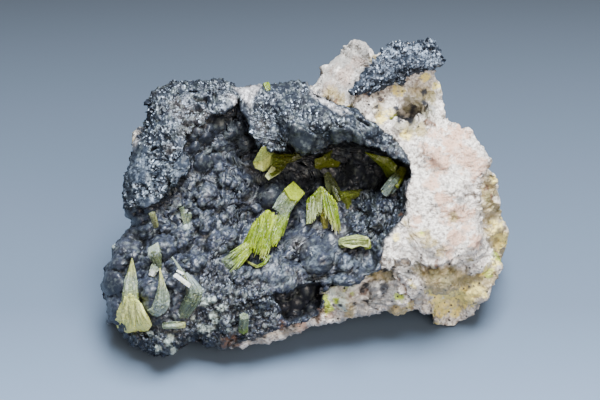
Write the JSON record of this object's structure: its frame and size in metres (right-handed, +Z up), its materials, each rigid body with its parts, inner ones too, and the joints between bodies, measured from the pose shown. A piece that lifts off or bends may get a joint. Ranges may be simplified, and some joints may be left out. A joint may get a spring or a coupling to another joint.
{
  "type": "mineral specimen",
  "caption": "Hand-sized mineral specimen: yellow-green prisms in the hollow of a dark bubbly crust on a white and tan quartz rock.",
  "frame": {"origin": "a point on the flat patch that the rock rests on, under the middle of the display face", "axes": "+Z up from the resting patch; +X along the longest side, to the right as seen from the display side; the display face leans back and looks along -Y and up"},
  "size_m": [0.0714, 0.0427, 0.0463],
  "materials": {
    "quartz": "granular, with pink, tan and yellow stains",
    "manganese_oxide": "botryoidal, satin",
    "cleaved_oxide": "rough with metallic glints",
    "yellow_green": "translucent, striated",
    "spire_green": "translucent, striated",
    "olive_green": "translucent, striated",
    "grey_green": "translucent, waxy",
    "pale_green": "translucent, waxy"
  },
  "bodies": {
    "root": {"quartz_matrix": "quartz", "botryoidal_crust": "manganese_oxide", "oxide_plate": "cleaved_oxide", "left_spire_crystal": "spire_green", "hooked_crystal": "grey_green", "waisted_crystal": "grey_green", "curved_sheaf_crystal": "grey_green", "pale_bar_crystal": "pale_green", "pale_upper_crystal": "pale_green", "olive_stub_crystal": "grey_green", "centre_sheaf_crystal": "yellow_green", "right_sheaf_crystal": "yellow_green", "crossed_prism_crystal": "olive_green", "pocket_block_crystal": "yellow_green", "pocket_olive_crystal": "olive_green", "pocket_blade_crystal": "olive_green", "pale_lower_crystal": "pale_green", "foot_stub_crystal": "pale_green", "crest_crystal": "olive_green"}
  },
  "joints": []
}
